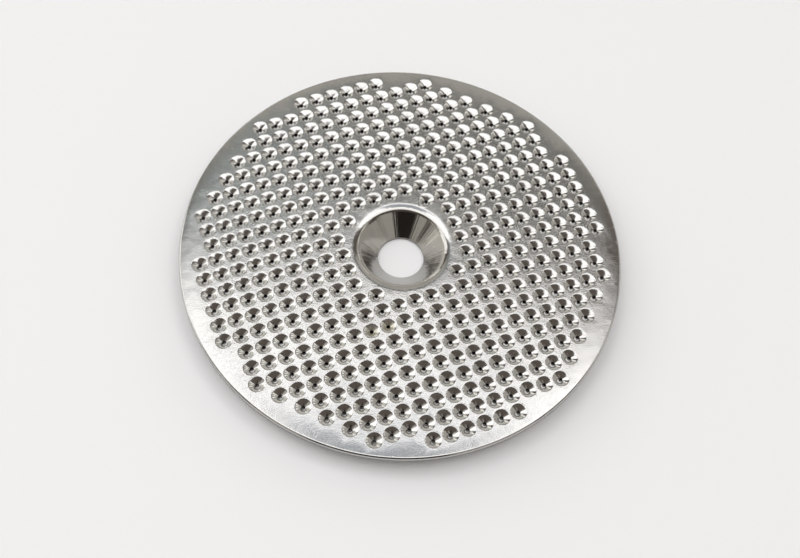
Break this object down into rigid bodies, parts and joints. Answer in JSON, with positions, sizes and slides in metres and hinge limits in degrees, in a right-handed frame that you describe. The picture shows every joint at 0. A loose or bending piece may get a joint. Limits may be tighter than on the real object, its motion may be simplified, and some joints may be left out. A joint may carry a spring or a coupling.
{
  "type": "espresso shower screen",
  "caption": "Round stamped steel disc covered with rows of small pierced cups, with a plain rim and a funnel-shaped screw hub in the middle.",
  "frame": {"origin": "centre of the screw hole's axis, in the plane of the hub's foot that the disc lies on", "axes": "+Z along the screw hole's axis, out of the hollow side of the cups; +X along the rows of cups, +Y along the columns"},
  "size_m": [0.052, 0.052, 0.0032],
  "materials": {
    "stainless_sheet": "bright rolled stainless sheet, softly polished, with a fine grain and light handling marks"
  },
  "bodies": {
    "root": {"shower_screen": "stainless_sheet"}
  },
  "joints": []
}
